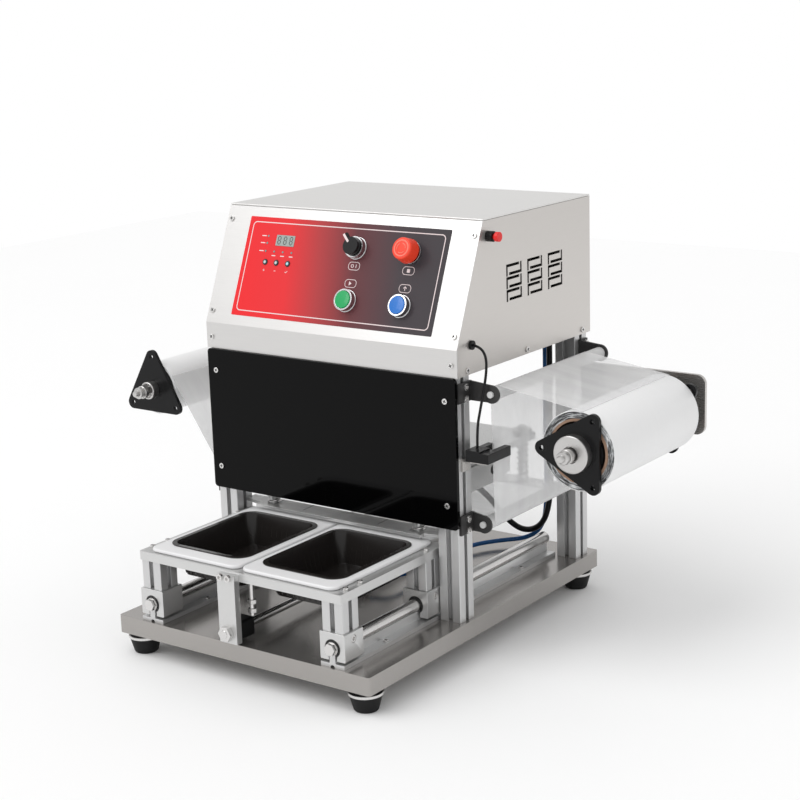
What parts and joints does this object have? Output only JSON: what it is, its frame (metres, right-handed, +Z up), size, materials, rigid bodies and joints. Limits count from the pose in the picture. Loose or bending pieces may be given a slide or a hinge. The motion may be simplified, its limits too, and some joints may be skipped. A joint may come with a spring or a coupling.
{
  "type": "tray sealing machine",
  "caption": "Bench-top drawer sealing machine: a pneumatic heated head seals film from a supply roll onto trays that slide in on rails.",
  "frame": {"origin": "under the middle of the machine's overall box, on the surface that the rubber feet stand on", "axes": "+X to the operator's right, towards the film supply roll; +Y from the operator towards the back; +Z up"},
  "size_m": [0.7579, 0.5332, 0.5342],
  "materials": {
    "stainless": "brushed",
    "anodised": "satin anodised",
    "steel": "turned",
    "chrome": "polished",
    "rubber": "matt",
    "black_gloss": "gloss",
    "white_silicone": "smooth",
    "label": "printed film",
    "display": "window",
    "black_matt": "moulded",
    "dark_grey": "painted",
    "cable_black": "smooth",
    "hose_blue": "smooth tube",
    "estop_red": "moulded",
    "green": "lens",
    "blue": "lens",
    "red": "moulded",
    "key_grey": "moulded",
    "film_white": "wound film",
    "film_clear": "thin film"
  },
  "bodies": {
    "frame": {"base_plate": "stainless", "cabinet_floor": "anodised", "cabinet_shell": "stainless", "cable_fittings": "black_matt", "control_label": "label", "display_window": "display", "drawer_cylinder": "anodised", "feet": "rubber", "film_web": "film_clear", "frame_fasteners": "steel", "front_panel": "stainless", "guide_frame": "anodised", "head_springs": "steel", "hose_black": "cable_black", "hose_blue": "hose_blue", "linear_rails": "anodised", "panel_electrics": "black_matt", "posts": "anodised", "press_cylinder": "anodised", "rewind_motor": "black_matt", "roll_brackets": "stainless", "roller_brackets": "dark_grey", "sensor_bracket": "stainless", "sensor_cable": "cable_black", "sensor_fork": "black_matt", "shield": "black_gloss", "switch_bezels": "chrome", "top_cover": "stainless"},
    "drawer": {"carrier_plate": "anodised", "gaskets": "white_silicone", "carrier_posts": "anodised", "bearing_blocks": "anodised", "drawer_fasteners": "steel", "link_plate": "anodised", "drawer_rod": "steel", "rod_coupling": "black_matt"},
    "left_tray": {"tray_left": "black_gloss"},
    "right_tray": {"tray_right": "black_gloss"},
    "head": {"head_plate": "anodised", "heater_block": "anodised", "press_rod": "steel"},
    "film_middle": {"film_span": "film_clear"},
    "selector": {"selector_knob": "black_matt"},
    "estop_plunger": {"estop_stem": "black_matt"},
    "estop_cap": {"estop_head": "estop_red"},
    "green_cap": {"green_button": "green"},
    "blue_cap": {"blue_button": "blue"},
    "side_cap": {"side_button_cap": "red"},
    "key_a": {"key_1": "key_grey"},
    "key_b": {"key_2": "key_grey"},
    "key_c": {"key_3": "key_grey"},
    "upper_guide_roller": {"upper_roller": "steel"},
    "lower_guide_roller_right": {"lower_roller_right": "steel"},
    "lower_guide_roller_left": {"lower_roller_left": "steel"},
    "supply_roll": {"supply_shaft": "anodised", "supply_flanges": "black_matt", "supply_core": "film_white"},
    "rewind_roll": {"rewind_shaft": "anodised", "rewind_flanges": "black_matt", "rewind_core": "film_white"}
  },
  "joints": [
    {"name": "drawer_slide", "type": "slide", "parent": "frame", "child": "drawer", "axis": [0, -1, 0], "range_m": [-0.206, 0]},
    {"name": "left_tray_lift", "type": "slide", "parent": "drawer", "child": "left_tray", "axis": [0, 0, 1], "range_m": [0, 0.06]},
    {"name": "right_tray_lift", "type": "slide", "parent": "drawer", "child": "right_tray", "axis": [0, 0, 1], "range_m": [0, 0.06]},
    {"name": "head_press", "type": "slide", "parent": "frame", "child": "head", "axis": [0, 0, -1], "range_m": [0, 0.0315], "stiffness_N_per_m": 2500, "springref_m": -0.045, "deforming": ["head_springs"]},
    {"name": "film_dip", "type": "slide", "parent": "frame", "child": "film_middle", "axis": [0, 0, -1], "range_m": [0, 0.0164]},
    {"name": "selector_turn", "type": "hinge", "parent": "frame", "child": "selector", "pos_m": [0.023, -0.01947, 0.49086], "axis": [0, 0.9222, -0.3867], "range_deg": [0, 90]},
    {"name": "estop_press", "type": "slide", "parent": "frame", "child": "estop_plunger", "axis": [0, 0.9222, -0.3867], "range_m": [0, 0.004]},
    {"name": "estop_twist", "type": "hinge", "parent": "estop_plunger", "child": "estop_cap", "pos_m": [0.1045, -0.01947, 0.49086], "axis": [0, 0.9222, -0.3867], "range_deg": [0, 30], "stiffness_Nm_per_rad": 0.05},
    {"name": "green_press", "type": "slide", "parent": "frame", "child": "green_cap", "axis": [0, 0.9222, -0.3867], "range_m": [0, 0.0035], "stiffness_N_per_m": 400, "springref_m": -0.001},
    {"name": "blue_press", "type": "slide", "parent": "frame", "child": "blue_cap", "axis": [0, 0.9222, -0.3867], "range_m": [0, 0.0035], "stiffness_N_per_m": 400, "springref_m": -0.001},
    {"name": "side_press", "type": "slide", "parent": "frame", "child": "side_cap", "axis": [-1, 0, 0], "range_m": [0, 0.0025], "stiffness_N_per_m": 400, "springref_m": -0.001},
    {"name": "key_a_press", "type": "slide", "parent": "frame", "child": "key_a", "axis": [0, 0.9222, -0.3867], "range_m": [0, 0.0008], "stiffness_N_per_m": 600, "springref_m": -0.001},
    {"name": "key_b_press", "type": "slide", "parent": "frame", "child": "key_b", "axis": [0, 0.9222, -0.3867], "range_m": [0, 0.0008], "stiffness_N_per_m": 600, "springref_m": -0.001},
    {"name": "key_c_press", "type": "slide", "parent": "frame", "child": "key_c", "axis": [0, 0.9222, -0.3867], "range_m": [0, 0.0008], "stiffness_N_per_m": 600, "springref_m": -0.001},
    {"name": "supply_spin", "type": "hinge", "parent": "frame", "child": "supply_roll", "pos_m": [0.331, 0.0856, 0.276], "axis": [0, 1, 0], "continuous": true},
    {"name": "rewind_spin", "type": "hinge", "parent": "frame", "child": "rewind_roll", "pos_m": [-0.331, 0.0856, 0.276], "axis": [0, 1, 0], "continuous": true},
    {"name": "upper_roller_spin", "type": "hinge", "parent": "frame", "child": "upper_guide_roller", "pos_m": [0.221, 0.0856, 0.333], "axis": [0, 1, 0], "continuous": true},
    {"name": "lower_right_spin", "type": "hinge", "parent": "frame", "child": "lower_guide_roller_right", "pos_m": [0.207, 0.0856, 0.171], "axis": [0, 1, 0], "continuous": true},
    {"name": "lower_left_spin", "type": "hinge", "parent": "frame", "child": "lower_guide_roller_left", "pos_m": [-0.207, 0.0856, 0.171], "axis": [0, 1, 0], "continuous": true}
  ],
  "couplings": [
    {"joint": "film_dip", "follows": "head_press", "ratio": 0.52063},
    {"joint": "upper_roller_spin", "follows": "supply_spin", "ratio": 6},
    {"joint": "lower_right_spin", "follows": "supply_spin", "ratio": -6},
    {"joint": "lower_left_spin", "follows": "supply_spin", "ratio": -6},
    {"joint": "rewind_spin", "follows": "supply_spin", "ratio": 1.3521}
  ]
}
